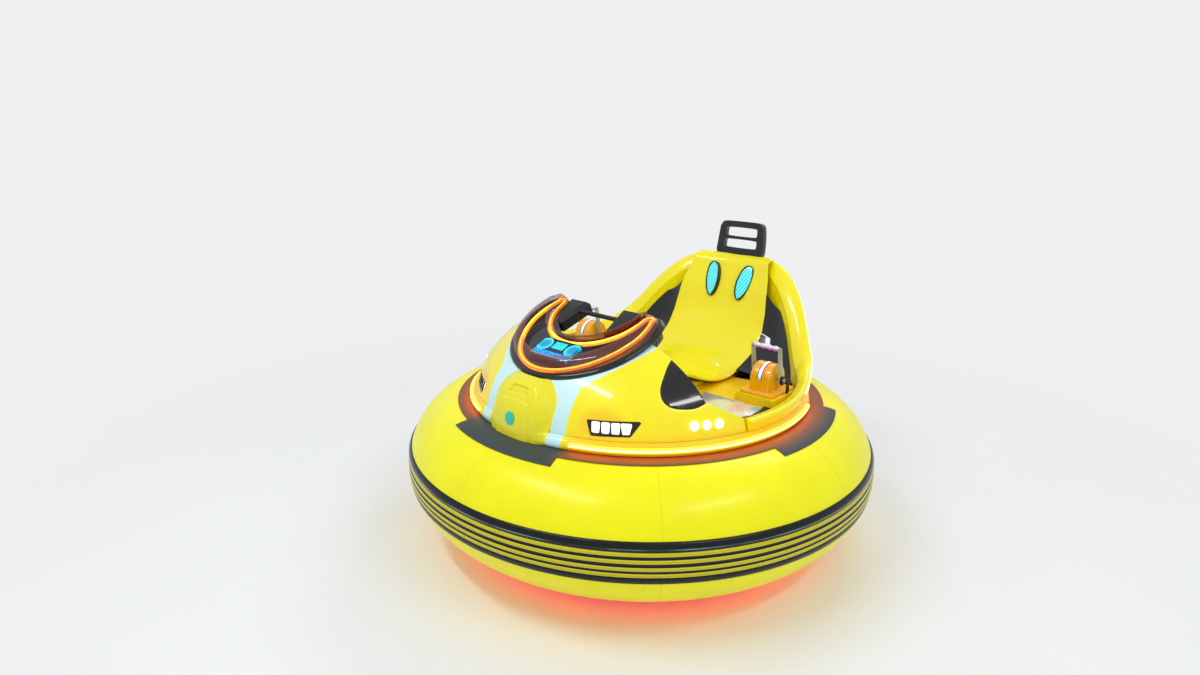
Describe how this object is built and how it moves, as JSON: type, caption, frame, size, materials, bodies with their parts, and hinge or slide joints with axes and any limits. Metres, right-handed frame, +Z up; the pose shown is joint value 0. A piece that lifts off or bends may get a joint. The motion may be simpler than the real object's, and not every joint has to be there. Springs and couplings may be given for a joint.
{
  "type": "bumper car",
  "caption": "Battery bumper car with an inflated tube all round, a domed body, a smoked dash pod, a bucket seat and two steering levers.",
  "frame": {"origin": "on the floor, under the middle of the tube", "axes": "+X to the driver's left, -Y to the front, +Z up"},
  "size_m": [1.9425, 1.9426, 1.2248],
  "materials": {
    "battery_case": "battery case",
    "black_gloss": "glossy black plastic",
    "black_matte": "black moulded plastic",
    "black_vinyl": "glossy black vinyl rubbing strip with yellow grooves",
    "blue_display": "blue instrument panel, no print",
    "clear_plastic": "clear plastic lever arms",
    "cyan_lamp": "lit cyan lamp with pale stripes",
    "orange_light": "lit orange neon tube",
    "orange_plastic": "glossy orange moulded housing",
    "painted_steel": "black painted steel plate",
    "pale_grip": "pale translucent grip",
    "red_light": "red light ring",
    "slate_cover": "dark slate vinyl cover",
    "smoked_amber": "smoked amber transparent cover",
    "teal_plastic": "teal disc, blank",
    "tread_silver": "silver tread plate with a rainbow film",
    "tyre_rubber": "solid rubber tyre",
    "warm_light": "lit warm white strip",
    "white_light": "lit white lamp",
    "yellow_body": "glossy moulded plastic, yellow with pale blue nose stripes",
    "yellow_vinyl": "satin inflatable vinyl, yellow",
    "zinc_steel": "zinc plated steel"
  },
  "bodies": {
    "car": {"tube": "yellow_vinyl", "rub_strip": "black_vinyl", "tube_cover": "slate_cover", "base_plate": "painted_steel", "light_ring": "red_light", "chassis_drum": "painted_steel", "battery": "battery_case", "wheel_bracket_left": "zinc_steel", "wheel_bracket_right": "zinc_steel", "hood": "yellow_body", "body_ring": "yellow_body", "sill_hoops": "yellow_body", "floor_deck": "yellow_body", "nose_panel": "yellow_body", "number_disc": "teal_plastic", "foot_well": "black_matte", "dash_rim": "black_gloss", "dash_cover": "smoked_amber", "dash_neon": "orange_light", "instrument_panel": "blue_display", "grab_bar": "black_matte", "headlamp_bezels": "black_gloss", "headlamp_cells": "white_light", "round_lamps_all": "white_light", "rim_light_left": "warm_light", "rim_light_right": "warm_light", "hoop_lights": "warm_light", "side_panels": "black_gloss", "seat": "yellow_body", "seat_base": "yellow_body", "eye_lamps": "cyan_lamp", "eye_rims": "black_gloss", "head_handle": "black_matte", "inner_panels": "black_gloss", "floor_plates": "tread_silver", "pedestals": "yellow_body", "lever_housing_left": "orange_plastic", "lever_housing_right": "orange_plastic", "housing_lights": "blue_display"},
    "drive_wheel_left": {"drive_wheel_left": "tyre_rubber"},
    "drive_wheel_right": {"drive_wheel_right": "tyre_rubber"},
    "caster_front": {"caster_fork_front": "zinc_steel"},
    "caster_rear": {"caster_fork_rear": "zinc_steel"},
    "caster_front_wheel": {"caster_wheel_front": "tyre_rubber"},
    "caster_rear_wheel": {"caster_wheel_rear": "tyre_rubber"},
    "lever_left": {"lever_left": "clear_plastic", "grip_left": "pale_grip"},
    "lever_right": {"lever_right": "clear_plastic", "grip_right": "pale_grip"}
  },
  "joints": [
    {"name": "drive_left", "type": "hinge", "parent": "car", "child": "drive_wheel_left", "pos_m": [0.33, 0, 0.1], "axis": [1, 0, 0], "continuous": true},
    {"name": "drive_right", "type": "hinge", "parent": "car", "child": "drive_wheel_right", "pos_m": [-0.33, 0, 0.1], "axis": [1, 0, 0], "continuous": true},
    {"name": "caster_front_swivel", "type": "hinge", "parent": "car", "child": "caster_front", "pos_m": [0, -0.56, 0.085], "axis": [0, 0, 1], "continuous": true},
    {"name": "caster_front_roll", "type": "hinge", "parent": "caster_front", "child": "caster_front_wheel", "pos_m": [0, -0.536, 0.03], "axis": [1, 0, 0], "continuous": true},
    {"name": "caster_rear_swivel", "type": "hinge", "parent": "car", "child": "caster_rear", "pos_m": [0, 0.56, 0.085], "axis": [0, 0, 1], "continuous": true},
    {"name": "caster_rear_roll", "type": "hinge", "parent": "caster_rear", "child": "caster_rear_wheel", "pos_m": [0, 0.584, 0.03], "axis": [1, 0, 0], "continuous": true},
    {"name": "lever_left_swing", "type": "hinge", "parent": "car", "child": "lever_left", "pos_m": [0.49, 0.214, 0.6939], "axis": [1, 0, 0], "range_deg": [-20, 20], "stiffness_Nm_per_rad": 4},
    {"name": "lever_right_swing", "type": "hinge", "parent": "car", "child": "lever_right", "pos_m": [-0.49, 0.214, 0.6939], "axis": [1, 0, 0], "range_deg": [-20, 20], "stiffness_Nm_per_rad": 4}
  ]
}
